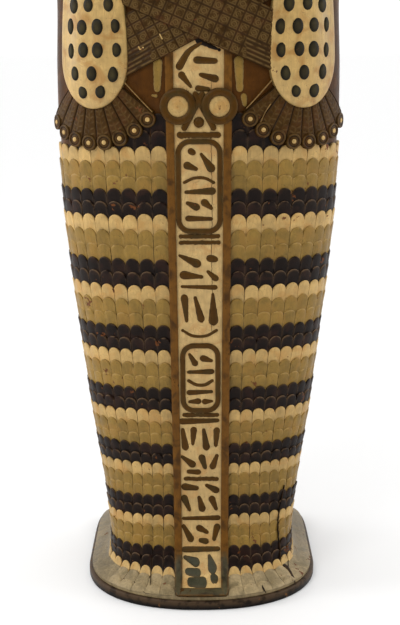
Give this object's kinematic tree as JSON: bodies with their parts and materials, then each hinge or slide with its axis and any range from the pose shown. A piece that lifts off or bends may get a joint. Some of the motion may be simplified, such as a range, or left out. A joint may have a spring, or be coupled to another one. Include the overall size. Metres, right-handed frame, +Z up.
{
  "type": "carved sarcophagus figure",
  "caption": "Life-size carved and painted mummiform sarcophagus figure with feather rows, crossed wings, tail fans, a front panel of plain strokes and a dark foot board.",
  "frame": {"origin": "on the foot board's underside, on the floor, under the body's long axis; the foot reaches further behind it than in front", "axes": "+Z up along the figure's height, -Y towards the viewer in front of the figure, +X to the right in the front view"},
  "size_m": [0.565, 0.5018, 1.8503],
  "materials": {
    "painted_wood": "old varnished paint in cream, khaki, brown and near-black, crackled, chipped and worn at the edges",
    "dark_board": "dark stained board with worn edges"
  },
  "bodies": {
    "root": {"carved_figure": "painted_wood", "plinth_board": "dark_board"}
  },
  "joints": []
}
